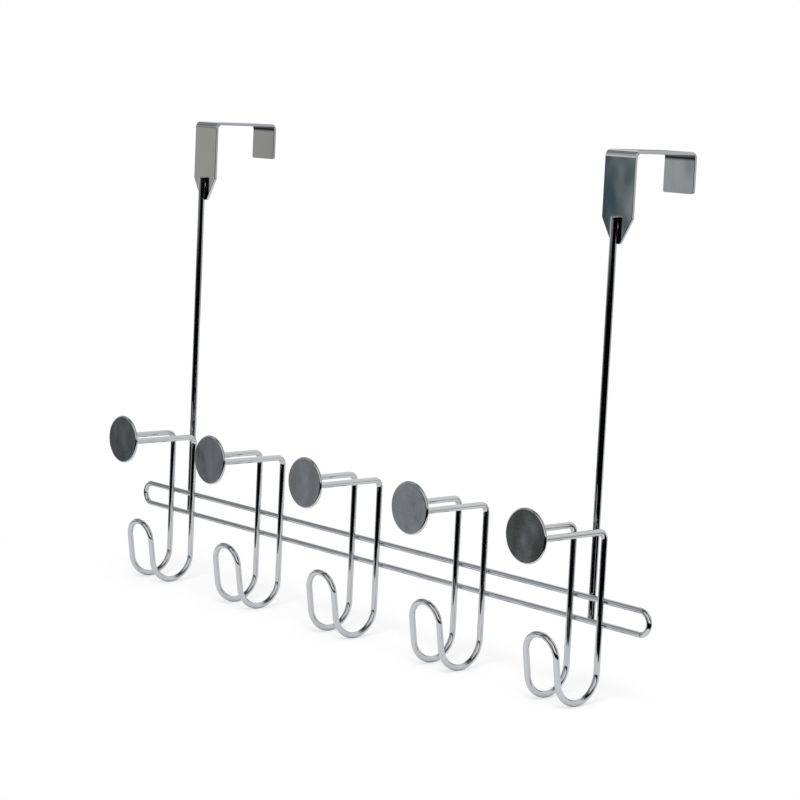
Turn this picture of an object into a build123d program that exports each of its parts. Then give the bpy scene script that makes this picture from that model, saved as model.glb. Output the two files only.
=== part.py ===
from build123d import *
import os
from math import cos, radians, sin

# Over-door hook rack in chrome-plated steel. Five double hooks of bent wire are welded on a long
# wire rail, which hangs by two straight uprights from two sheet straps folded over the door's top.
# Millimetres. The origin is the top front edge of the door, midway between the straps:
# +X runs along the door, +Y goes back through its thickness and +Z is up.

# Door and straps
door_gap = 44.5  # clear space for the door, from the front plate to the rear tab
strap_width = 21.6
strap_sheet = 1.8
strap_fold = 2.0  # inside radius of both folds
strap_edge = 0.25  # rounding left on the sheet's long edges by polishing
plate_drop = 47.5  # underside of the strap to the tip of the front plate
plate_taper = 13.5  # height over which the plate narrows
plate_tip_width = 6.0
plate_corner = 1.5  # rounding of the taper's corners
tab_drop = 20.6  # underside of the strap to the foot of the rear tab
tab_corner = 1.2

# Wires and their welds
hook_wire = 3.5
rail_wire = 3.2
upright_wire = 4.0
weld_sink = 0.35  # depth by which a welded wire is pressed into its neighbour
wire_end_round = 0.4  # rounding of the cut ends of the uprights

# Hooks
hook_count = 5
hook_spacing = 90.0  # centre to centre
leg_spacing = 22.3  # centre to centre
arm_drop = 197.8  # underside of the strap to the arms' centreline
arm_reach = 48.0  # legs' centreline to the front of the disc
arm_bend = 4.5  # centreline radius from arm to leg
cradle_drop = 90.5  # arms' centreline to the lowest centreline of the cradle
cradle_radius = 14.75  # centreline
lip_rise = 36.8  # lowest centreline of the cradle to the top centreline of the front loop
lip_lean = 8.5  # degrees by which the front loop leans away from the legs
disc_diameter = 29.5
disc_thickness = 1.5
disc_front_round = 0.9
disc_back_round = 0.3

# Rail and uprights
rail_end = 33.85  # outermost leg's centreline to the end of the rail
rail_spacing = 12.8  # centre to centre of its two wires
rail_drop = 37.7  # arms' centreline to the upper wire's centreline
upright_inset = 1.0  # how far an upright stands inwards of the end hook's middle
upright_lap = 14.5  # length of an upright that is welded on its front plate
upright_foot = 0.5  # how far an upright ends below the lower wire's centreline

# Layers from the door forwards: plate, upright, rail, hook legs
plate_front_y = -strap_sheet
upright_y = plate_front_y - upright_wire / 2 + weld_sink
rail_y = upright_y - (upright_wire + rail_wire) / 2 + weld_sink
leg_y = rail_y - (rail_wire + hook_wire) / 2 + weld_sink
disc_front_y = leg_y - arm_reach
disc_back_y = disc_front_y + disc_thickness

# Heights
plate_tip_z = -plate_drop
upright_top_z = plate_tip_z + upright_lap
arm_z = -arm_drop
cradle_z = arm_z - cradle_drop + cradle_radius
rail_upper_z = arm_z - rail_drop
rail_lower_z = rail_upper_z - rail_spacing
rail_middle_z = (rail_upper_z + rail_lower_z) / 2
upright_foot_z = rail_lower_z - upright_foot

# Front loop: its lips leave the cradle short of a half turn, and lean forwards on their way up
lean = radians(lip_lean)
lip_foot_y = leg_y - cradle_radius * (1 + cos(lean))
lip_foot_z = cradle_z - cradle_radius * sin(lean)
lip_length = (cradle_z - cradle_radius + lip_rise - lip_foot_z) / cos(lean)


# A place on the lips' slanting centreline, in the part's Y and Z
def lip_point(distance):
    return lip_foot_y - distance * sin(lean), lip_foot_z + distance * cos(lean)


# Places along the rail
hook_places = [(number - (hook_count - 1) / 2) * hook_spacing for number in range(hook_count)]
leg_places = [place + side * leg_spacing / 2 for place in hook_places for side in (-1, 1)]
rail_reach = leg_places[-1] + rail_end
strap_reach = hook_places[-1] - upright_inset
strap_places = {"left": -strap_reach, "right": strap_reach}

os.makedirs("parts", exist_ok=True)


# Straps: one strip of sheet, tapered at its front end and folded twice over the door
def make_strap(place):
    with BuildPart() as strap:
        with BuildSketch(Plane.YZ.offset(place)):
            with BuildLine():
                FilletPolyline(
                    (0, plate_tip_z),
                    (0, 0),
                    (door_gap, 0),
                    (door_gap, -tab_drop),
                    radius=strap_fold,
                )
                offset(amount=strap_sheet, side=Side.LEFT)
            make_face()
        extrude(amount=strap_width / 2, both=True)

        plate_tip = Plane((place, 0, plate_tip_z), x_dir=(1, 0, 0), z_dir=(0, -1, 0))
        with BuildSketch(plate_tip):
            with BuildLine():
                Polyline(
                    (plate_tip_width / 2, 0),
                    (strap_width / 2, plate_taper),
                    (strap_width / 2, 0),
                    close=True,
                )
            make_face()
            mirror(about=Plane.YZ)
        extrude(amount=strap_sheet, mode=Mode.SUBTRACT)

        corners = short_edges(strap)
        fillet(corners.filter_by_position(Axis.Y, plate_front_y, 0), plate_corner)
        fillet(corners.filter_by_position(Axis.Y, door_gap, door_gap + strap_sheet), tab_corner)
        # the rim is every edge but the fold lines and the short edges across the sheet
        folds = strap.edges().filter_by(Axis.X).filter_by(lambda edge: edge.length > 0.99 * strap_width)
        fillet(strap.edges() - folds - short_edges(strap), strap_edge)
    return strap


# Edges that cross the sheet's thickness in the front plate and the rear tab
def short_edges(strap):
    return strap.edges().filter_by(Axis.Y).filter_by(lambda edge: edge.length < 1.01 * strap_sheet)


for side, place in strap_places.items():
    door_strap = make_strap(place)
    door_strap.part.label = f"door_strap_{side}"
    export_step(door_strap.part, f"parts/door_strap_{side}.step")


# Uprights: straight wire, with a flat pressed where it is welded on the front plate
def make_upright(place):
    with BuildPart() as upright:
        with BuildSketch(Plane.XY.offset(upright_foot_z)):
            with Locations((place, upright_y)):
                Circle(upright_wire / 2)
        extrude(amount=upright_top_z - upright_foot_z)
        fillet(upright.edges().filter_by(GeomType.CIRCLE), wire_end_round)
        with BuildSketch(Plane.XY.offset(plate_tip_z)):
            with Locations((place, plate_front_y)):
                Rectangle(upright_wire, upright_wire, align=(Align.CENTER, Align.MIN))
        extrude(amount=upright_lap, mode=Mode.SUBTRACT)
    return upright


for side, place in strap_places.items():
    upright = make_upright(place)
    upright.part.label = f"upright_{side}"
    export_step(upright.part, f"parts/upright_{side}.step")


# Rail: one wire bent to a long loop, with a seat pressed in it at every weld
with BuildPart() as rail:
    with BuildLine(Plane((0, rail_y, rail_middle_z), x_dir=(1, 0, 0), z_dir=(0, -1, 0))) as rail_loop:
        end_radius = rail_spacing / 2
        end_centre = rail_reach - rail_wire / 2 - end_radius
        Line((-end_centre, end_radius), (end_centre, end_radius))
        CenterArc((end_centre, 0), end_radius, 90, -180)
        Line((end_centre, -end_radius), (-end_centre, -end_radius))
        CenterArc((-end_centre, 0), end_radius, 270, -180)
    with BuildSketch(Plane(rail_loop.wire() @ 0, z_dir=rail_loop.wire() % 0)):
        Circle(rail_wire / 2)
    sweep(path=rail_loop.wire())
    with BuildSketch(Plane.XY.offset(rail_lower_z - rail_wire)):
        with Locations(*[(place, leg_y) for place in leg_places]):
            Circle(hook_wire / 2)
    extrude(amount=rail_spacing + 2 * rail_wire, mode=Mode.SUBTRACT)
    with BuildSketch(Plane.XY.offset(upright_foot_z)):
        with Locations(*[(place, upright_y) for place in strap_places.values()]):
            Circle(upright_wire / 2)
    extrude(amount=rail_spacing + 2 * rail_wire, mode=Mode.SUBTRACT)
rail.part.label = "back_rail"
export_step(rail.part, "parts/back_rail.step")


# Hooks: one wire each, bent to a path that is the same on both sides of the hook's middle.
# It starts behind the disc and runs back along an arm, down a leg, forward round the cradle and up
# the lip, then across the top of the front loop and home the same way.
def make_hook(place):
    half = leg_spacing / 2
    middle = Plane.YZ.offset(place)
    # in the middle plane the first two coordinates are the part's Y and Z, and the third is its X
    with BuildPart() as hook:
        with BuildLine(middle) as hook_path:
            Line((disc_back_y, arm_z, -half), (leg_y - arm_bend, arm_z, -half))
            CenterArc((leg_y - arm_bend, arm_z - arm_bend, -half), arm_bend, 90, -90)
            Line((leg_y, arm_z - arm_bend, -half), (leg_y, cradle_z, -half))
            CenterArc((leg_y - cradle_radius, cradle_z, -half), cradle_radius, 0, lip_lean - 180)
            Line((*lip_point(0), -half), (*lip_point(lip_length - half), -half))
            mirror(about=middle)
            ThreePointArc(
                (*lip_point(lip_length - half), -half),
                (*lip_point(lip_length), 0),
                (*lip_point(lip_length - half), half),
            )
        wire_path = hook_path.wire()
        with BuildSketch(Plane(wire_path @ 0, z_dir=wire_path % 0)):
            Circle(hook_wire / 2)
        sweep(path=wire_path)
    return hook


# Discs: round blanks of sheet with a softened front edge, welded on both arm ends of a hook
def make_disc(place):
    with BuildPart() as disc:
        with BuildSketch(Plane((place, disc_back_y, arm_z), x_dir=(1, 0, 0), z_dir=(0, -1, 0))):
            Circle(disc_diameter / 2)
        extrude(amount=disc_thickness)
        rims = disc.edges().filter_by(GeomType.CIRCLE).sort_by(Axis.Y)
        fillet(rims[0], disc_front_round)
        fillet(rims[-1], disc_back_round)
    return disc


for number, place in enumerate(hook_places, start=1):
    hook = make_hook(place)
    hook.part.label = f"hook_wire_{number}"
    export_step(hook.part, f"parts/hook_wire_{number}.step")
    disc = make_disc(place)
    disc.part.label = f"hook_disc_{number}"
    export_step(disc.part, f"parts/hook_disc_{number}.step")
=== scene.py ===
from math import cos, pi, radians, sin, tan

import bpy
from bpy.props import (
    FloatProperty,
    FloatVectorProperty,
    IntProperty,
    PointerProperty,
)
from mathutils import Matrix, Vector


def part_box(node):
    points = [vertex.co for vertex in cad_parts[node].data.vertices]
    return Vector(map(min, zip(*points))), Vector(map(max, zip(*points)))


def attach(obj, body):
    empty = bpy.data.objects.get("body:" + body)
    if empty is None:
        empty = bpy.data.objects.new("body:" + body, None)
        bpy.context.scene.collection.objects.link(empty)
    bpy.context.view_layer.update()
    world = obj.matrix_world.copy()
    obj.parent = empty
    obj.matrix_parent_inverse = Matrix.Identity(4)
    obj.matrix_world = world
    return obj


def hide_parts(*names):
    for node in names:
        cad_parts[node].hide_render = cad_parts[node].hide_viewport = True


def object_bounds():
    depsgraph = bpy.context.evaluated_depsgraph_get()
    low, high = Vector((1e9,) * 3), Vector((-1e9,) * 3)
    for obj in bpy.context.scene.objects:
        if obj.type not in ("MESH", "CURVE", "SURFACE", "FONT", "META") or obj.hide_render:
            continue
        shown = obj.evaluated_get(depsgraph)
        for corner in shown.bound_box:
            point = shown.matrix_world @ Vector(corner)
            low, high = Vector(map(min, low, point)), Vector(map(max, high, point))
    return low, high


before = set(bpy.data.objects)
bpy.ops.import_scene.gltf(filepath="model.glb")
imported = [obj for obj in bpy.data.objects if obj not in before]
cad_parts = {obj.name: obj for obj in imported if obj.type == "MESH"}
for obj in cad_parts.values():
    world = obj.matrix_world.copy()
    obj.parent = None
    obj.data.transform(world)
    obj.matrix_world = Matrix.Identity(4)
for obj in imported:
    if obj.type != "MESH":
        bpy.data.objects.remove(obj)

bl_info = {
    "name": "Over-Door Hook Rack",
    "version": (1, 0, 0),
    "blender": (4, 5, 0),
    "location": "View3D > Sidebar > Hook Rack",
    "description": "Chrome-plated wire hooks, rail, welds and sheet straps of an over-door rack",
    "category": "Object",
}

CAD_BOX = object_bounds()
MM = 0.001


def nodes_named(start):
    """CAD nodes whose names start alike, in order."""
    return sorted(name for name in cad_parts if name.startswith(start))


HOOKS = nodes_named("hook_wire_")
DISCS = nodes_named("hook_disc_")
UPRIGHTS = nodes_named("upright_")
STRAPS = nodes_named("door_strap_")

# Half sizes of the weld lumps: across, front to back, and up
LEG_LUMP = (1.85 * MM, 0.5 * MM, 1.8 * MM)
ARM_LUMP = (2.3 * MM, 0.55 * MM, 2.3 * MM)
UPRIGHT_LUMP = (1.75 * MM, 0.45 * MM, 1.6 * MM)
# on the plates a lump is as high as this share of the welded length
PLATE_LUMP_SHARE = 0.92
PLATE_LUMP = (1.6 * MM, 0.5 * MM)
SMALLEST_LUMP = 0.92  # of a full lump's size

# Mesh detail
BEND_POINTS = 64  # round each bend, before the wire is divided evenly
CUT_EDGE = radians(50)  # a sharper edge than this is a wire's cut end, and stays hard
LUMP_SEGMENTS = 24
LUMP_RINGS = 14

# Plating
PATCH_WAVES = 6  # width of the cloudy patches, in waves
HAZE = (0.12, 0.45)  # lines times patches, where the plating is smoothest and where it is roughest
ROUGHEST = 2.2  # times the smoothest roughness
# distances to a fold's two inner faces, added up, where the painted shade in the fold is full and where
# it has faded out
FOLD_SHADE_FULL = 1.8 * MM
FOLD_SHADE_GONE = 3.6 * MM
SHEET_SLACK = 0.05 * MM  # so that the inner faces themselves count as inside the fold

# Stage
FLOOR_GAP = 0.02 * MM  # from the lowest wire down to the floor
# floor sheet from above, in metres: its front edge follows the hooks, and it runs far out at the back
FLOOR_OUTLINE = (
    (-0.30, -0.13), (-0.15, -0.17), (0.0, -0.185), (0.15, -0.14), (0.27, -0.10), (0.29, 0.0),
    (0.36, 0.2), (1.2, 1.6), (-1.2, 1.6), (-0.40, 0.2), (-0.40, -0.04),
)
SENSOR_WIDTH = 36.0
CLIP_START = 0.05
CLIP_END = 20.0

# Sockets of a Mix node that mixes colours
MIX_FIRST = 6
MIX_SECOND = 7
MIX_RESULT = 2

# What the chrome mirrors: rings of the studio round the rack, one above the other. A stop is a heading,
# in degrees to the left of the camera, and the tone there. Pale walls stand at both sides. Towards the
# camera the lower two rings are a dark room, and the upper two hold the softboxes' white fronts. The
# lower three have a dark opening behind the rack, which gives its back an edge.
BELOW = (
    (-180, "#D0D0D0"), (-172, "#3A3E42"), (-148, "#3A3E42"), (-125, "#D0D0D0"), (-92, "#B4B4B4"),
    (-85, "#6A6C6E"), (-76, "#08090A"), (-66, "#000000"), (64, "#000000"), (80, "#2A3032"),
    (94.2, "#424740"), (95.6, "#B8BAC2"), (98, "#7C7F85"), (101, "#808186"), (102.5, "#484C4A"),
    (110, "#484C4A"), (128, "#D0D0D0"), (180, "#D0D0D0"),
)
WALLS = (
    (-180, "#E8E8E8"), (-172, "#262A2E"), (-148, "#262A2E"), (-128, "#F2F2F2"), (-90, "#D4D4D8"),
    (-77, "#C0C0C6"), (-68, "#3C3C44"), (-56, "#000000"), (20, "#000000"), (40, "#5E6066"),
    (55, "#8E9096"), (83, "#6A747A"), (88.6, "#606668"), (89.2, "#A0A2A0"), (89.85, "#ECECE8"),
    (90.2, "#567078"), (91, "#3E585F"), (91.6, "#30474E"), (93, "#60747A"), (96, "#929594"),
    (101, "#B5B3AE"), (113, "#D8D8D8"), (180, "#E8E8E8"),
)
STRIP = (
    (-180, "#E8E8E8"), (-172, "#262A2E"), (-148, "#262A2E"), (-128, "#F2F2F2"), (-90, "#DCDCE2"),
    (-85, "#F4F4F8"), (-78, "#FFFFFF"), (-70, "#C0C0C4"), (-62, "#202024"), (-54, "#101012"),
    (-44, "#C8C8C8"), (-22, "#FFFFFF"), (12, "#FFFFFF"), (30, "#B4B6BA"), (55, "#8E9096"),
    (88, "#C8C8C8"), (92, "#E8E8EA"), (95.5, "#CCCCCE"), (98, "#9C9E9E"), (99.6, "#727474"),
    (101.5, "#949492"), (113, "#D8D8D8"), (180, "#E8E8E8"),
)
CEILING = (
    (-180, "#F6F6F6"), (-95, "#F6F6F6"), (-80, "#D8D8DA"), (-66, "#3C3E42"), (-54, "#1C1E22"),
    (-31, "#141618"), (-22, "#E8E8E8"), (-14, "#FFFFFF"), (10, "#FFFFFF"), (18, "#B8B8BC"),
    (28, "#B8B8BC"), (40, "#FFFFFF"), (52, "#F4F4F4"), (66, "#A0A2A6"), (79, "#484C50"),
    (93, "#BCBEC4"), (103, "#BABCC2"), (111, "#76787C"), (124, "#9C9EA2"), (145, "#6A7074"),
    (165, "#F6F6F6"), (180, "#F6F6F6"),
)
RINGS = (BELOW, WALLS, STRIP, CEILING)
# Elevations in degrees over which a ring gives way to the next one up, and the last to the overhead
RING_EDGES = ((-4.5, -3.2), (1.5, 4), (13, 22), (57, 72))


def linear(hex_colour):
    """Turn an sRGB hex colour into linear red, green, blue and alpha."""
    channels = [int(hex_colour[i:i + 2], 16) / 255 for i in (1, 3, 5)]
    return (*[c / 12.92 if c <= 0.04045 else ((c + 0.055) / 1.055) ** 2.4 for c in channels], 1.0)


def add_node(tree, kind, inputs=None, **settings):
    """Add one node with its settings; an input is a plain value or the socket it is linked from."""
    node = tree.nodes.new(kind)
    for key, value in settings.items():
        setattr(node, key, value)
    for key, value in (inputs or {}).items():
        if isinstance(value, bpy.types.NodeSocket):
            tree.links.new(value, node.inputs[key])
        else:
            node.inputs[key].default_value = value
    return node


# Sizes, finish and studio


def length(name, description, default):
    """A length that can't be negative."""
    return FloatProperty(
        name=name, description=description, default=default, min=0.0, precision=5,
        subtype="DISTANCE", unit="LENGTH",
    )


def angle(name, description, default):
    """An angle, with its default in degrees."""
    return FloatProperty(
        name=name, description=description, default=radians(default), subtype="ANGLE", unit="ROTATION",
    )


def position(name, description, default):
    """A place in the rack's frame."""
    return FloatVectorProperty(
        name=name, description=description, default=default, subtype="TRANSLATION", unit="LENGTH",
    )


def colour(name, description, default):
    """A colour, with its default as sRGB hex."""
    return FloatVectorProperty(
        name=name, description=description, default=linear(default), size=4, min=0.0, max=1.0,
        subtype="COLOR",
    )


def share(name, description, default):
    """A number from 0 to 1."""
    return FloatProperty(
        name=name, description=description, default=default, min=0.0, max=1.0, subtype="FACTOR",
    )


class HookRackSizes(bpy.types.PropertyGroup):
    """Wire sizes, bends and welds of the rack."""

    hook_wire: length("Hook Wire", "Diameter of the wire that the hooks are bent from", 3.5 * MM)
    rail_wire: length("Rail Wire", "Diameter of the wire of the long rail", 3.2 * MM)
    leg_spacing: length("Leg Spacing", "Between the middles of a hook's two legs", 22.3 * MM)
    arm_bend: length("Arm Bend", "Radius of the bend from arm to leg, at the wire's middle", 4.5 * MM)
    cradle_radius: length("Cradle Radius", "Radius of the lower hook, at the wire's middle", 14.75 * MM)
    lip_rise: length("Lip Rise", "From the lowest to the highest middle of the front loop", 36.8 * MM)
    lip_lean: angle("Lip Lean", "How far the front loop leans away from the legs", 8.5)
    weld_sink: length("Weld Sink", "Depth by which welded wires are pressed together", 0.35 * MM)
    weld_lap: length("Weld Lap", "Length of an upright that is welded on its strap", 14.5 * MM)
    weld_unevenness: length("Weld Unevenness", "Height of the bumps on the weld lumps", 0.12 * MM)
    weld_grain: length("Weld Grain", "Size of the bumps on the weld lumps", 1.0 * MM)
    weld_seed: IntProperty(
        name="Weld Seed", description="Picks how the lumps differ in size", default=7, min=0,
    )
    ring_step: length("Ring Step", "Distance between the mesh rings along a wire", 0.7 * MM)
    wire_sides: IntProperty(
        name="Wire Sides", description="Mesh faces around a wire", default=28, min=8, max=64,
    )


class HookRackFinish(bpy.types.PropertyGroup):
    """Look of the chrome plating."""

    bright: colour("Bright Chrome", "Plating where it is thickest", "#CDCFD1")
    pale: colour("Thin Chrome", "Plating where the bright nickel under it shows a little", "#C6C7C7")
    # painted shade: a near-black chrome that stands for the shade in the inner corners of the straps'
    # folds
    painted_fold_shade: colour("Painted Fold Shade", "Thin plating inside the straps' folds", "#5C5C60")
    wire_roughness: share("Wire Roughness", "Smoothest roughness of plated wire", 0.035)
    sheet_roughness: share("Sheet Roughness", "Smoothest roughness of the plated straps", 0.03)
    disc_roughness: share("Disc Roughness", "Smoothest roughness of the plated discs", 0.08)
    weld_roughness: share("Weld Roughness", "Smoothest roughness of plated welds", 0.09)


class HookRackStudio(bpy.types.PropertyGroup):
    """Camera, floor and light."""

    azimuth: angle("Camera Azimuth", "Turn of the camera to the rack's right", 48.08)
    elevation: angle("Camera Elevation", "Height of the camera's look above level", 7.354)
    roll: angle("Camera Roll", "Tilt of the picture", 2.716)
    distance: length("Camera Distance", "From the target to the camera", 1.3676)
    target: position(
        "Camera Target", "Point in the middle of the picture", (0.0252, -0.0097, -0.1492),
    )
    lens: FloatProperty(
        name="Lens", description="Focal length on a 36 mm sensor", default=107.15, unit="CAMERA",
    )
    white: colour("White", "Paper floor, and the room as the camera sees it", "#FFFFFF")
    overhead: colour("Overhead", "Unlit ceiling over the rack, as the chrome mirrors it", "#1E2022")
    mirrored_floor: colour("Mirrored Floor", "Floor sheet as the chrome mirrors it", "#E4E6EB")
    # painted contact shade on the mirrored floor: how far under a wire its glow is darkened
    contact_shade_reach: length("Floor Touch", "How far a wire darkens the mirrored floor under it", 15 * MM)
    shadow: share("Floor Shadow", "How strongly the floor shows its shadow near the rack", 0.5)
    shadow_near: length("Shadow Near", "From the rack's middle to where the shadow starts to fade", 0.2)
    shadow_far: length("Shadow Far", "From the rack's middle to where the floor is plain white", 0.34)
    room_light: share("Room Light", "Strength of the white room's light on the floor", 0.8)
    softbox: FloatProperty(
        name="Softbox Power", description="Power of the overhead softbox", default=9.0, unit="POWER",
    )
    softbox_side: length("Softbox Side", "Length of the softbox's sides", 0.7)
    softbox_place: position("Softbox Place", "Middle of the softbox", (0.55, -0.75, 1.1))


# Chrome finishes


def chrome_plating(
    name, finish, smoothest, coordinates, grain, wave, wave_height, grain_height, painted_fold_shade=None,
):
    """Mirror chrome with slow waves, fine lines of the metal under it and faint cloudy patches.

    grain is the size of the lines on each axis, wave the size of the waves, and both heights are in
    metres. The fold-shade argument gives a factor that is 1 where the plating is darkened as painted
    shade.
    """
    material = bpy.data.materials.new(name)
    material.use_nodes = True
    tree = material.node_tree
    tree.nodes.clear()
    place = in_place(tree)
    stretched = add_node(
        tree, "ShaderNodeMapping",
        {"Vector": coordinates(tree), "Scale": [1 / size for size in grain]},
    )
    lines = add_node(
        tree, "ShaderNodeTexNoise",
        {"Vector": stretched.outputs["Vector"], "Scale": 1.0, "Detail": 3.0, "Roughness": 0.6},
    )
    waves = add_node(
        tree, "ShaderNodeTexNoise",
        {"Vector": place, "Scale": 1 / wave, "Detail": 1.0, "Roughness": 0.4},
    )
    patches = add_node(
        tree, "ShaderNodeTexNoise",
        {"Vector": place, "Scale": 1 / (PATCH_WAVES * wave), "Detail": 3.0, "Roughness": 0.55},
    )
    tint = add_node(
        tree, "ShaderNodeMix",
        {"Factor": patches.outputs["Fac"], MIX_FIRST: finish.bright, MIX_SECOND: finish.pale},
        data_type="RGBA",
    )
    # painted shade: in the inner corners of the folds the tint darkens towards the fold-shade colour
    if painted_fold_shade:
        tint = add_node(
            tree, "ShaderNodeMix",
            {"Factor": painted_fold_shade(tree), MIX_FIRST: tint.outputs[MIX_RESULT], MIX_SECOND: finish.painted_fold_shade},
            data_type="RGBA",
        )
    haze = add_node(
        tree, "ShaderNodeMath", {0: lines.outputs["Fac"], 1: patches.outputs["Fac"]},
        operation="MULTIPLY",
    )
    roughness = add_node(
        tree, "ShaderNodeMapRange",
        {"Value": haze.outputs["Value"], "From Min": HAZE[0], "From Max": HAZE[1],
         "To Min": smoothest, "To Max": ROUGHEST * smoothest},
    )
    wavy = add_node(
        tree, "ShaderNodeBump",
        {"Height": waves.outputs["Fac"], "Distance": wave_height, "Strength": 1.0},
    )
    lined = add_node(
        tree, "ShaderNodeBump",
        {"Height": lines.outputs["Fac"], "Distance": grain_height, "Strength": 1.0,
         "Normal": wavy.outputs["Normal"]},
    )
    shader = add_node(
        tree, "ShaderNodeBsdfPrincipled",
        {"Base Color": tint.outputs[MIX_RESULT], "Metallic": 1.0,
         "Roughness": roughness.outputs["Result"], "Normal": lined.outputs["Normal"]},
    )
    add_node(tree, "ShaderNodeOutputMaterial", {"Surface": shader.outputs["BSDF"]})


def along_wire(tree):
    """Coordinates that run along a bent wire: two across it and one along its length."""
    return add_node(tree, "ShaderNodeAttribute", attribute_name="wire_grain").outputs["Vector"]


def in_place(tree):
    """The piece's own coordinates, in metres."""
    return add_node(tree, "ShaderNodeTexCoord").outputs["Object"]


def around_disc(tree):
    """Coordinates of a disc's rings: the distance from its middle, then the places along and up."""
    first, second = hook_places()[:2]
    spacing = second - first
    split = add_node(tree, "ShaderNodeSeparateXYZ", {"Vector": in_place(tree)})
    shifted = add_node(
        tree, "ShaderNodeMath", {0: split.outputs["X"], 1: spacing / 2 - first}, operation="ADD",
    )
    wrapped = add_node(
        tree, "ShaderNodeMath", {0: shifted.outputs["Value"], 1: spacing}, operation="FLOORED_MODULO",
    )
    across = add_node(
        tree, "ShaderNodeMath", {0: wrapped.outputs["Value"], 1: spacing / 2}, operation="SUBTRACT",
    )
    up = add_node(
        tree, "ShaderNodeMath", {0: split.outputs["Z"], 1: disc_height()}, operation="SUBTRACT",
    )
    face = add_node(
        tree, "ShaderNodeCombineXYZ",
        {"X": across.outputs["Value"], "Y": up.outputs["Value"], "Z": 0.0},
    )
    radius = add_node(tree, "ShaderNodeVectorMath", {0: face.outputs["Vector"]}, operation="LENGTH")
    return add_node(
        tree, "ShaderNodeCombineXYZ",
        {"X": radius.outputs["Value"], "Y": split.outputs["X"], "Z": up.outputs["Value"]},
    ).outputs["Vector"]


def fold_shade_mask(tree):
    """Near 1 in the inner corners of the straps' folds, where painted shade darkens the plating."""
    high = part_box(STRAPS[0])[1]
    # the straps lie on the door's top, at height 0
    sheet = high.z
    split = add_node(tree, "ShaderNodeSeparateXYZ", {"Vector": in_place(tree)})
    to_tab = add_node(
        tree, "ShaderNodeMath", {0: high.y - sheet, 1: split.outputs["Y"]}, operation="SUBTRACT",
    )
    to_wall = add_node(
        tree, "ShaderNodeMath", {0: split.outputs["Y"], 1: to_tab.outputs["Value"]},
        operation="MINIMUM",
    )
    below = add_node(tree, "ShaderNodeMath", {0: split.outputs["Z"], 1: -1.0}, operation="MULTIPLY")
    depth = add_node(
        tree, "ShaderNodeMath", {0: to_wall.outputs["Value"], 1: below.outputs["Value"]},
        operation="ADD",
    )
    corner = add_node(
        tree, "ShaderNodeMapRange",
        {"Value": depth.outputs["Value"], "From Min": FOLD_SHADE_FULL, "From Max": FOLD_SHADE_GONE,
         "To Min": 1.0, "To Max": 0.0},
        interpolation_type="SMOOTHSTEP",
    )
    nearest = add_node(
        tree, "ShaderNodeMath", {0: to_wall.outputs["Value"], 1: below.outputs["Value"]},
        operation="MINIMUM",
    )
    inside = add_node(
        tree, "ShaderNodeMath", {0: nearest.outputs["Value"], 1: -SHEET_SLACK},
        operation="GREATER_THAN",
    )
    return add_node(
        tree, "ShaderNodeMath", {0: corner.outputs["Result"], 1: inside.outputs["Value"]},
        operation="MULTIPLY",
    ).outputs["Value"]


def make_platings(finish):
    """Make all the plated finishes of the rack."""
    # Drawn steel wire, bent and then plated: a bright mirror with long faint lines from the drawing die
    # and a slow ripple. The lines of a real die are finer, and are drawn coarse enough to show.
    wire = dict(
        finish=finish, smoothest=finish.wire_roughness, grain=(0.3 * MM, 0.3 * MM, 14 * MM),
        wave=6 * MM, wave_height=0.002 * MM, grain_height=0.0003 * MM,
    )
    chrome_plating("chrome_plated_drawn_wire", coordinates=along_wire, **wire)
    # The same wire left straight, so its lines run upright
    chrome_plating("chrome_plated_straight_wire", coordinates=in_place, **wire)
    # Cold-rolled sheet, buffed along the strap before plating: wider ripples, short buffing lines and
    # painted shade in the folds
    chrome_plating(
        "chrome_plated_buffed_sheet", finish=finish, smoothest=finish.sheet_roughness,
        coordinates=in_place, grain=(0.25 * MM, 6 * MM, 6 * MM), wave=20 * MM, wave_height=0.08 * MM,
        grain_height=0.0004 * MM, painted_fold_shade=fold_shade_mask,
    )
    # Blanked discs, buffed on a turning wheel: rings of fine lines around the middle
    chrome_plating(
        "chrome_plated_spun_disc", finish=finish, smoothest=finish.disc_roughness,
        coordinates=around_disc, grain=(0.3 * MM, 9 * MM, 9 * MM), wave=14 * MM, wave_height=0.2 * MM,
        grain_height=0.0004 * MM,
    )
    # Metal squeezed out of the welds and plated over: small soft lumps, a little duller than the wire
    chrome_plating(
        "chrome_plated_weld", finish=finish, smoothest=finish.weld_roughness,
        coordinates=in_place, grain=(0.4 * MM, 0.4 * MM, 0.4 * MM), wave=1.2 * MM,
        wave_height=0.01 * MM, grain_height=0.002 * MM,
    )


def plating(name):
    """The plated finish of that name; the first call makes them all."""
    if name not in bpy.data.materials:
        make_platings(bpy.context.scene.hook_rack_finish)
    return bpy.data.materials[name]


# Places read from the frame


def hook_places():
    """Middle of each hook along the rail."""
    return [sum(corner.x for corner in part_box(name)) / 2 for name in HOOKS]


def disc_height():
    """Height of the discs' middles, which is that of the arms."""
    return sum(corner.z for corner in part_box(DISCS[0])) / 2


# Shapes


def new_tree(name, sockets):
    """A geometry node tree with named inputs: (name, socket type, default)."""
    tree = bpy.data.node_groups.new(name, "GeometryNodeTree")
    tree.interface.new_socket("Geometry", in_out="INPUT", socket_type="NodeSocketGeometry")
    for label, kind, default in sockets:
        socket = tree.interface.new_socket(label, in_out="INPUT", socket_type=kind)
        if default is not None:
            socket.default_value = default
    tree.interface.new_socket("Geometry", in_out="OUTPUT", socket_type="NodeSocketGeometry")
    return tree, tree.nodes.new("NodeGroupInput").outputs


def end_tree(tree, geometry, material):
    """Realise what the tree made, give it its finish and pass it out."""
    real = add_node(tree, "GeometryNodeRealizeInstances", {"Geometry": geometry})
    painted = add_node(
        tree, "GeometryNodeSetMaterial",
        {"Geometry": real.outputs["Geometry"], "Material": material},
    )
    add_node(tree, "NodeGroupOutput", {"Geometry": painted.outputs["Geometry"]})


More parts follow.
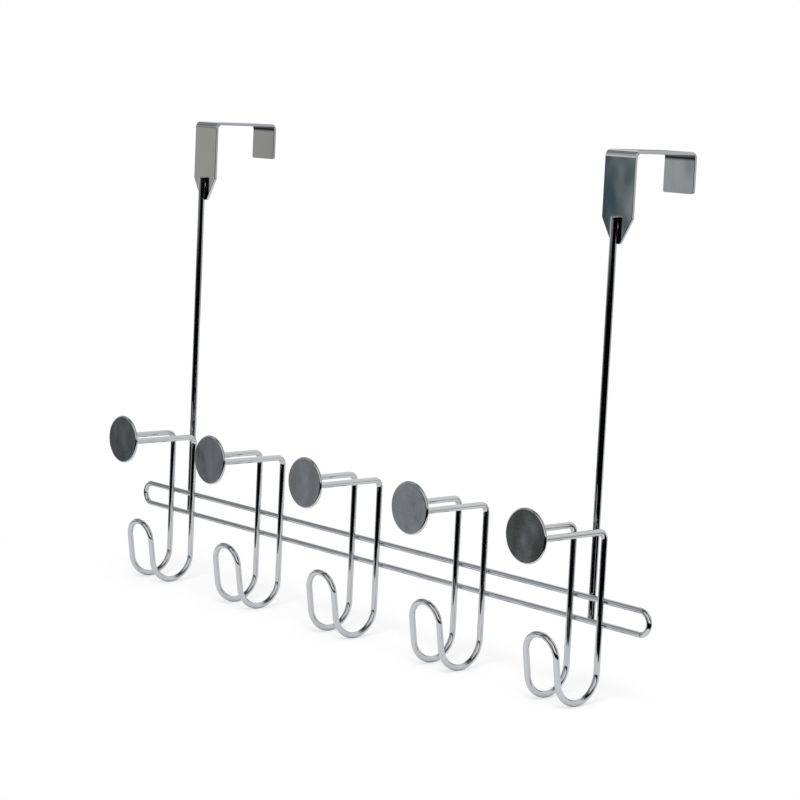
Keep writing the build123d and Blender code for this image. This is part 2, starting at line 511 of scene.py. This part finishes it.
def bent_wire_tree(sizes):
    """Round wire along a line of corners, each rounded to its own bend radius."""
    name = "bent_wire"
    if name in bpy.data.node_groups:
        return bpy.data.node_groups[name]
    tree, given = new_tree(name, [
        ("Wire Diameter", "NodeSocketFloat", sizes.hook_wire),
        ("Ring Step", "NodeSocketFloat", sizes.ring_step),
        ("Wire Sides", "NodeSocketInt", sizes.wire_sides),
        ("Plating", "NodeSocketMaterial", None),
    ])
    corners = add_node(tree, "GeometryNodeMeshToCurve", {"Mesh": given["Geometry"]})
    bend = add_node(
        tree, "GeometryNodeInputNamedAttribute", {"Name": "bend_radius"}, data_type="FLOAT",
    )
    rounded = add_node(
        tree, "GeometryNodeFilletCurve",
        {"Curve": corners.outputs["Curve"], "Count": BEND_POINTS,
         "Radius": bend.outputs["Attribute"]},
        mode="POLY",
    )
    path = add_node(
        tree, "GeometryNodeResampleCurve",
        {"Curve": rounded.outputs["Curve"], "Length": given["Ring Step"]}, mode="LENGTH",
    )
    run = add_node(tree, "GeometryNodeSplineParameter")
    marked_path = add_node(tree, "GeometryNodeCaptureAttribute", domain="POINT")
    marked_path.capture_items.new("FLOAT", "Along")
    tree.links.new(path.outputs["Curve"], marked_path.inputs["Geometry"])
    tree.links.new(run.outputs["Length"], marked_path.inputs["Along"])
    radius = add_node(
        tree, "ShaderNodeMath", {0: given["Wire Diameter"], 1: 0.5}, operation="MULTIPLY",
    )
    ring = add_node(
        tree, "GeometryNodeCurvePrimitiveCircle",
        {"Resolution": given["Wire Sides"], "Radius": radius.outputs["Value"]}, mode="RADIUS",
    )
    spot = add_node(tree, "GeometryNodeInputPosition")
    marked_ring = add_node(tree, "GeometryNodeCaptureAttribute", domain="POINT")
    marked_ring.capture_items.new("VECTOR", "Across")
    tree.links.new(ring.outputs["Curve"], marked_ring.inputs["Geometry"])
    tree.links.new(spot.outputs["Position"], marked_ring.inputs["Across"])
    tube = add_node(
        tree, "GeometryNodeCurveToMesh",
        {"Curve": marked_path.outputs["Geometry"], "Profile Curve": marked_ring.outputs["Geometry"],
         "Fill Caps": True},
    )
    along = add_node(tree, "ShaderNodeCombineXYZ", {"Z": marked_path.outputs["Along"]})
    grain = add_node(
        tree, "ShaderNodeVectorMath",
        {0: marked_ring.outputs["Across"], 1: along.outputs["Vector"]}, operation="ADD",
    )
    grained = add_node(
        tree, "GeometryNodeStoreNamedAttribute",
        {"Geometry": tube.outputs["Mesh"], "Name": "wire_grain", "Value": grain.outputs["Vector"]},
        data_type="FLOAT_VECTOR", domain="POINT",
    )
    smooth = add_node(
        tree, "GeometryNodeSetShadeSmooth", {"Geometry": grained.outputs["Geometry"]}, domain="FACE",
    )
    fold = add_node(tree, "GeometryNodeInputMeshEdgeAngle")
    sharp = add_node(
        tree, "FunctionNodeCompare", {0: fold.outputs["Unsigned Angle"], 1: CUT_EDGE},
        data_type="FLOAT", operation="GREATER_THAN",
    )
    edged = add_node(
        tree, "GeometryNodeSetShadeSmooth",
        {"Geometry": smooth.outputs["Geometry"], "Selection": sharp.outputs["Result"],
         "Shade Smooth": False},
        domain="EDGE",
    )
    end_tree(tree, edged.outputs["Geometry"], given["Plating"])
    return tree


def weld_tree(sizes):
    """A soft lump of squeezed-out metal at every weld, each a little different."""
    name = "weld_lumps"
    if name in bpy.data.node_groups:
        return bpy.data.node_groups[name]
    tree, given = new_tree(name, [
        ("Unevenness", "NodeSocketFloat", sizes.weld_unevenness),
        ("Grain", "NodeSocketFloat", sizes.weld_grain),
        ("Seed", "NodeSocketInt", sizes.weld_seed),
        ("Plating", "NodeSocketMaterial", None),
    ])
    places = add_node(
        tree, "GeometryNodeMeshToPoints", {"Mesh": given["Geometry"]}, mode="VERTICES",
    )
    size = add_node(
        tree, "GeometryNodeInputNamedAttribute", {"Name": "weld_size"}, data_type="FLOAT_VECTOR",
    )
    # the sockets for a plain number are the third and fourth of this node, and its second output
    vary = add_node(
        tree, "FunctionNodeRandomValue", {2: SMALLEST_LUMP, 3: 1.0, "Seed": given["Seed"]},
        data_type="FLOAT",
    )
    varied = add_node(
        tree, "ShaderNodeVectorMath", {0: size.outputs["Attribute"], "Scale": vary.outputs[1]},
        operation="SCALE",
    )
    lump = add_node(
        tree, "GeometryNodeMeshUVSphere",
        {"Segments": LUMP_SEGMENTS, "Rings": LUMP_RINGS, "Radius": 1.0},
    )
    # the sphere's poles are turned to the front and back, where the wires cover them
    turned = add_node(
        tree, "GeometryNodeTransform",
        {"Geometry": lump.outputs["Mesh"], "Rotation": (pi / 2, 0.0, 0.0)},
    )
    lumps = add_node(
        tree, "GeometryNodeInstanceOnPoints",
        {"Points": places.outputs["Points"], "Instance": turned.outputs["Geometry"],
         "Scale": varied.outputs["Vector"]},
    )
    real = add_node(tree, "GeometryNodeRealizeInstances", {"Geometry": lumps.outputs["Instances"]})
    scale = add_node(tree, "ShaderNodeMath", {0: 1.0, 1: given["Grain"]}, operation="DIVIDE")
    spot = add_node(tree, "GeometryNodeInputPosition")
    noise = add_node(
        tree, "ShaderNodeTexNoise",
        {"Vector": spot.outputs["Position"], "Scale": scale.outputs["Value"], "Detail": 1.0},
    )
    centred = add_node(
        tree, "ShaderNodeMath", {0: noise.outputs["Fac"], 1: 0.5}, operation="SUBTRACT",
    )
    height = add_node(
        tree, "ShaderNodeMath", {0: centred.outputs["Value"], 1: given["Unevenness"]},
        operation="MULTIPLY",
    )
    outward = add_node(tree, "GeometryNodeInputNormal")
    push = add_node(
        tree, "ShaderNodeVectorMath",
        {0: outward.outputs["Normal"], "Scale": height.outputs["Value"]}, operation="SCALE",
    )
    uneven = add_node(
        tree, "GeometryNodeSetPosition",
        {"Geometry": real.outputs["Geometry"], "Offset": push.outputs["Vector"]},
    )
    smooth = add_node(
        tree, "GeometryNodeSetShadeSmooth", {"Geometry": uneven.outputs["Geometry"]}, domain="FACE",
    )
    end_tree(tree, smooth.outputs["Geometry"], given["Plating"])
    return tree


def shaped_piece(name, points, edges, attribute, kind, values, tree, inputs):
    """Run a node tree on a few points and keep the result as a plain mesh."""
    seed = bpy.data.meshes.new(name)
    seed.from_pydata(points, edges, [])
    column = seed.attributes.new(attribute, kind, "POINT")
    column.data.foreach_set(
        "vector" if kind == "FLOAT_VECTOR" else "value", [v for row in values for v in row],
    )
    piece = bpy.data.objects.new(name, seed)
    bpy.context.scene.collection.objects.link(piece)
    modifier = piece.modifiers.new("shape", "NODES")
    modifier.node_group = tree
    for item in tree.interface.items_tree:
        if item.in_out == "INPUT" and item.name in inputs:
            modifier[item.identifier] = inputs[item.name]
    depsgraph = bpy.context.evaluated_depsgraph_get()
    shaped = bpy.data.meshes.new_from_object(
        piece.evaluated_get(depsgraph), preserve_all_data_layers=True, depsgraph=depsgraph,
    )
    piece.modifiers.remove(modifier)
    piece.data = shaped
    bpy.data.meshes.remove(seed)
    shaped.name = name
    if not shaped.polygons:
        raise RuntimeError(f"{name} came out empty")
    return piece


def bent_wire(name, corners, closed, diameter, sizes):
    """One wire through corners, which are (point, bend radius)."""
    points = [point for point, _ in corners]
    edges = [(i, i + 1) for i in range(len(points) - 1)]
    if closed:
        edges.append((len(points) - 1, 0))
    return shaped_piece(
        name, points, edges, "bend_radius", "FLOAT", [(radius,) for _, radius in corners],
        bent_wire_tree(sizes),
        {"Wire Diameter": diameter, "Ring Step": sizes.ring_step, "Wire Sides": sizes.wire_sides,
         "Plating": plating("chrome_plated_drawn_wire")},
    )


def dress(piece, node):
    """Fix a finished piece on the rack, in a CAD node's stead where it stands for one."""
    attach(piece, "root")
    if node:
        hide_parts(node)


# Operators


class HOOKRACK_OT_hooks(bpy.types.Operator):
    """Bend the double hooks, each from one wire."""

    bl_idname = "hook_rack.hooks"
    bl_label = "Bend Hooks"

    def execute(self, context):
        sizes = context.scene.hook_rack_sizes
        half = sizes.leg_spacing / 2
        lean = sizes.lip_lean
        for number, node in enumerate(HOOKS, start=1):
            low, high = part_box(node)
            middle = (low.x + high.x) / 2
            leg_y = high.y - sizes.hook_wire / 2
            arm_z = high.z - sizes.hook_wire / 2
            foot_z = low.z + sizes.hook_wire / 2
            # the cradle is a quarter turn under the leg and the rest of its turn up into the lip
            front_corner = leg_y - sizes.cradle_radius * (1 + tan((pi / 2 - lean) / 2))
            loop_top = front_corner - sizes.lip_rise * tan(lean)
            side = [
                (low.y, arm_z, 0.0),
                (leg_y, arm_z, sizes.arm_bend),
                (leg_y, foot_z, sizes.cradle_radius),
                (front_corner, foot_z, sizes.cradle_radius),
                (loop_top, foot_z + sizes.lip_rise, half),
            ]
            left = [((middle - half, y, z), radius) for y, z, radius in side]
            right = [((middle + half, y, z), radius) for y, z, radius in reversed(side)]
            piece = bent_wire(f"bent_hook_{number}", left + right, False, sizes.hook_wire, sizes)
            dress(piece, node)
        return {"FINISHED"}


class HOOKRACK_OT_rail(bpy.types.Operator):
    """Bend the long rail to a closed loop."""

    bl_idname = "hook_rack.rail"
    bl_label = "Bend Rail"

    def execute(self, context):
        sizes = context.scene.hook_rack_sizes
        low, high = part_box("back_rail")
        inset = sizes.rail_wire / 2
        y = (low.y + high.y) / 2
        bend = (high.z - low.z) / 2 - inset
        corners = [
            ((x, y, z), bend)
            for x, z in (
                (low.x + inset, high.z - inset),
                (high.x - inset, high.z - inset),
                (high.x - inset, low.z + inset),
                (low.x + inset, low.z + inset),
            )
        ]
        piece = bent_wire("bent_rail", corners, True, sizes.rail_wire, sizes)
        dress(piece, "back_rail")
        return {"FINISHED"}


class HOOKRACK_OT_welds(bpy.types.Operator):
    """Add the lumps of metal that the welds squeeze out."""

    bl_idname = "hook_rack.welds"
    bl_label = "Add Welds"

    def execute(self, context):
        sizes = context.scene.hook_rack_sizes
        low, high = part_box("back_rail")
        rail_heights = (high.z - sizes.rail_wire / 2, low.z + sizes.rail_wire / 2)
        front_y = (low.y + high.y) / 2 - sizes.rail_wire / 2 + sizes.weld_sink / 2
        welds = []
        for place in hook_places():
            for x in (place - sizes.leg_spacing / 2, place + sizes.leg_spacing / 2):
                # leg on the rail's two wires, and arm end on the disc
                welds += [((x, front_y, z), LEG_LUMP) for z in rail_heights]
                welds.append(((x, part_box(HOOKS[0])[0].y, disc_height()), ARM_LUMP))
        lap = sizes.weld_lap / 2
        for node in UPRIGHTS:
            # upright on the rail's two wires, and on its plate
            low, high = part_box(node)
            x = (low.x + high.x) / 2
            rail_side = low.y + sizes.weld_sink / 2
            plate_side = high.y - sizes.weld_sink
            welds += [((x, rail_side, z), UPRIGHT_LUMP) for z in rail_heights]
            welds.append(((x, plate_side, high.z - lap), (*PLATE_LUMP, PLATE_LUMP_SHARE * lap)))
        piece = shaped_piece(
            "weld_lumps", [place for place, _ in welds], [], "weld_size", "FLOAT_VECTOR",
            [size for _, size in welds], weld_tree(sizes),
            {"Unevenness": sizes.weld_unevenness, "Grain": sizes.weld_grain, "Seed": sizes.weld_seed,
             "Plating": plating("chrome_plated_weld")},
        )
        dress(piece, None)
        return {"FINISHED"}


class HOOKRACK_OT_plating(bpy.types.Operator):
    """Plate the uprights, discs and straps."""

    bl_idname = "hook_rack.plating"
    bl_label = "Plate Uprights, Discs and Straps"

    def execute(self, context):
        for nodes, finish in (
            (UPRIGHTS, "chrome_plated_straight_wire"),
            (DISCS, "chrome_plated_spun_disc"),
            (STRAPS, "chrome_plated_buffed_sheet"),
        ):
            for node in nodes:
                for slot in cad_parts[node].material_slots:
                    slot.material = plating(finish)
        return {"FINISHED"}


class HOOKRACK_OT_stage(bpy.types.Operator):
    """Set up the floor, the studio light and the camera."""

    bl_idname = "hook_rack.stage"
    bl_label = "Set Up Studio"

    def execute(self, context):
        studio = context.scene.hook_rack_studio
        context.scene.view_settings.view_transform = "Standard"
        self.lay_floor(context, studio)
        self.light_world(context, studio)
        self.hang_softbox(context, studio)
        self.place_camera(context, studio)
        return {"FINISHED"}

    def lay_floor(self, context, studio):
        """A white sheet under the hooks that ends a short way in front of them."""
        z = CAD_BOX[0].z - FLOOR_GAP
        outline = [(x, y, z) for x, y in FLOOR_OUTLINE]
        sheet = bpy.data.meshes.new("floor_sheet")
        sheet.from_pydata(outline, [], [range(len(outline))])
        floor = bpy.data.objects.new("floor_sheet", sheet)
        context.scene.collection.objects.link(floor)
        sheet.materials.append(self.white_paper(studio))

    def white_paper(self, studio):
        """Matt white paper: it shows as the white background, and keeps a faint shadow near the rack."""
        material = bpy.data.materials.new("white_paper_matt")
        material.use_nodes = True
        tree = material.node_tree
        tree.nodes.clear()
        path = add_node(tree, "ShaderNodeLightPath")
        seen = add_node(
            tree, "ShaderNodeMath",
            {0: path.outputs["Is Camera Ray"], 1: path.outputs["Is Glossy Ray"]}, operation="MAXIMUM",
        )
        seen_through = add_node(
            tree, "ShaderNodeMath",
            {0: seen.outputs["Value"], 1: path.outputs["Is Transmission Ray"]}, operation="MAXIMUM",
        )
        away = add_node(
            tree, "ShaderNodeVectorMath", {0: in_place(tree), 1: (1, 1, 0)}, operation="MULTIPLY",
        )
        distance = add_node(
            tree, "ShaderNodeVectorMath", {0: away.outputs["Vector"]}, operation="LENGTH",
        )
        fade = add_node(
            tree, "ShaderNodeMapRange",
            {"Value": distance.outputs["Value"], "From Min": studio.shadow_near,
             "From Max": studio.shadow_far, "To Min": 1 - studio.shadow, "To Max": 1.0},
            interpolation_type="SMOOTHSTEP",
        )
        part = add_node(
            tree, "ShaderNodeMath", {0: seen_through.outputs["Value"], 1: fade.outputs["Result"]},
            operation="MULTIPLY",
        )
        paper = add_node(tree, "ShaderNodeBsdfDiffuse", {"Color": studio.white})
        # painted contact shade: close under a wire, ambient occlusion darkens the paper's glow as the
        # chrome mirrors it
        painted_contact_shade = add_node(
            tree, "ShaderNodeAmbientOcclusion",
            {"Color": studio.mirrored_floor, "Distance": studio.contact_shade_reach},
        )
        shown = add_node(
            tree, "ShaderNodeMix",
            {"Factor": path.outputs["Is Glossy Ray"], MIX_FIRST: studio.white,
             MIX_SECOND: painted_contact_shade.outputs["Color"]},
            data_type="RGBA",
        )
        glow = add_node(
            tree, "ShaderNodeEmission", {"Color": shown.outputs[MIX_RESULT], "Strength": 1.0},
        )
        mixed = add_node(
            tree, "ShaderNodeMixShader",
            {"Fac": part.outputs["Value"], 1: paper.outputs["BSDF"], 2: glow.outputs["Emission"]},
        )
        add_node(tree, "ShaderNodeOutputMaterial", {"Surface": mixed.outputs["Shader"]})
        return material

    def light_world(self, context, studio):
        """White to the camera and on the floor, while the chrome mirrors the rings and the overhead."""
        world = bpy.data.worlds.new("white_studio")
        context.scene.world = world
        world.use_nodes = True
        tree = world.node_tree
        tree.nodes.clear()
        direction = add_node(tree, "ShaderNodeTexCoord").outputs["Generated"]
        height = add_node(tree, "ShaderNodeSeparateXYZ", {"Vector": direction})
        heading = self.heading(tree, direction, studio.azimuth)
        lowest, *upper = [self.ring(tree, heading, stops) for stops in RINGS]
        mirrored = lowest
        for tone, (start, end) in zip((*upper, studio.overhead), RING_EDGES):
            rise = add_node(
                tree, "ShaderNodeMapRange",
                {"Value": height.outputs["Z"], "From Min": sin(radians(start)),
                 "From Max": sin(radians(end))},
                interpolation_type="SMOOTHSTEP",
            )
            mixed = add_node(
                tree, "ShaderNodeMix",
                {"Factor": rise.outputs["Result"], MIX_FIRST: mirrored, MIX_SECOND: tone},
                data_type="RGBA",
            )
            mirrored = mixed.outputs[MIX_RESULT]
        path = add_node(tree, "ShaderNodeLightPath")
        shown = add_node(
            tree, "ShaderNodeMix",
            {"Factor": path.outputs["Is Glossy Ray"], MIX_FIRST: studio.white, MIX_SECOND: mirrored},
            data_type="RGBA",
        )
        strength = add_node(
            tree, "ShaderNodeMapRange",
            {"Value": path.outputs["Is Diffuse Ray"], "To Min": 1.0, "To Max": studio.room_light},
        )
        sky = add_node(
            tree, "ShaderNodeBackground",
            {"Color": shown.outputs[MIX_RESULT], "Strength": strength.outputs["Result"]},
        )
        add_node(tree, "ShaderNodeOutputWorld", {"Surface": sky.outputs["Background"]})

    def heading(self, tree, direction, azimuth):
        """Where a direction lies on a ring, from 0 to 1, with the camera's side at a half."""
        ahead = add_node(
            tree, "ShaderNodeVectorMath", {0: direction, 1: (sin(azimuth), -cos(azimuth), 0.0)},
            operation="DOT_PRODUCT",
        )
        leftward = add_node(
            tree, "ShaderNodeVectorMath", {0: direction, 1: (-cos(azimuth), -sin(azimuth), 0.0)},
            operation="DOT_PRODUCT",
        )
        turn = add_node(
            tree, "ShaderNodeMath", {0: leftward.outputs["Value"], 1: ahead.outputs["Value"]},
            operation="ARCTAN2",
        )
        return add_node(
            tree, "ShaderNodeMapRange",
            {"Value": turn.outputs["Value"], "From Min": -pi, "From Max": pi},
        ).outputs["Result"]

    def ring(self, tree, heading, stops):
        """The tones of one ring of the studio."""
        ramp = add_node(tree, "ShaderNodeValToRGB", {"Fac": heading})
        points = ramp.color_ramp.elements
        while len(points) < len(stops):
            points.new(1.0)
        for point, (degrees, tone) in zip(points, stops):
            point.position = 0.5 + degrees / 360
            point.color = linear(tone)
        return ramp.outputs["Color"]

    def hang_softbox(self, context, studio):
        """A large soft lamp over the rack.

        The rings already hold its white front, so the chrome doesn't mirror the lamp itself.
        """
        light = bpy.data.lights.new("overhead_softbox", "AREA")
        light.energy = studio.softbox
        light.shape = "SQUARE"
        light.size = studio.softbox_side
        lamp = bpy.data.objects.new("overhead_softbox", light)
        lamp.location = studio.softbox_place
        aim = Vector((0.0, 0.0, CAD_BOX[0].z)) - lamp.location
        lamp.rotation_euler = aim.to_track_quat("-Z", "Y").to_euler()
        lamp.visible_camera = False
        lamp.visible_glossy = False
        context.scene.collection.objects.link(lamp)

    def place_camera(self, context, studio):
        """The photograph's angle."""
        a, e, r = studio.azimuth, studio.elevation, studio.roll
        back = Vector((sin(a) * cos(e), -cos(a) * cos(e), sin(e)))
        right = Vector((cos(a), sin(a), 0.0))
        up = back.cross(right)
        turned_right = cos(r) * right + sin(r) * up
        turned_up = cos(r) * up - sin(r) * right
        data = bpy.data.cameras.new("camera")
        data.sensor_width = SENSOR_WIDTH
        data.lens = studio.lens
        data.clip_start = CLIP_START
        data.clip_end = CLIP_END
        camera = bpy.data.objects.new("camera", data)
        turn = Matrix((turned_right, turned_up, back)).transposed().to_4x4()
        place = Vector(studio.target) + studio.distance * back
        camera.matrix_world = Matrix.Translation(place) @ turn
        context.scene.collection.objects.link(camera)
        context.scene.camera = camera


OPERATORS = (
    HOOKRACK_OT_hooks,
    HOOKRACK_OT_rail,
    HOOKRACK_OT_welds,
    HOOKRACK_OT_plating,
    HOOKRACK_OT_stage,
)


class HOOKRACK_PT_panel(bpy.types.Panel):
    """Steps and sizes of the rack."""

    bl_idname = "HOOKRACK_PT_panel"
    bl_label = "Hook Rack"
    bl_space_type = "VIEW_3D"
    bl_region_type = "UI"
    bl_category = "Hook Rack"

    def draw(self, context):
        for operator in OPERATORS:
            self.layout.operator(operator.bl_idname)
        for name in GROUPS:
            group = getattr(context.scene, name)
            box = self.layout.box()
            for key in group.bl_rna.properties.keys():
                if key not in ("rna_type", "name"):
                    box.prop(group, key)


GROUPS = {
    "hook_rack_sizes": HookRackSizes,
    "hook_rack_finish": HookRackFinish,
    "hook_rack_studio": HookRackStudio,
}
CLASSES = (*GROUPS.values(), *OPERATORS, HOOKRACK_PT_panel)


def register():
    """Add the classes, and give the scene its three groups of settings."""
    for cls in CLASSES:
        bpy.utils.register_class(cls)
    for name, group in GROUPS.items():
        setattr(bpy.types.Scene, name, PointerProperty(type=group))


def unregister():
    """Take away what register added."""
    for name in GROUPS:
        delattr(bpy.types.Scene, name)
    for cls in reversed(CLASSES):
        bpy.utils.unregister_class(cls)


def main():
    """Make the rack and its studio."""
    register()
    bpy.ops.hook_rack.hooks()
    bpy.ops.hook_rack.rail()
    bpy.ops.hook_rack.welds()
    bpy.ops.hook_rack.plating()
    bpy.ops.hook_rack.stage()


if __name__ == "__main__":
    main()
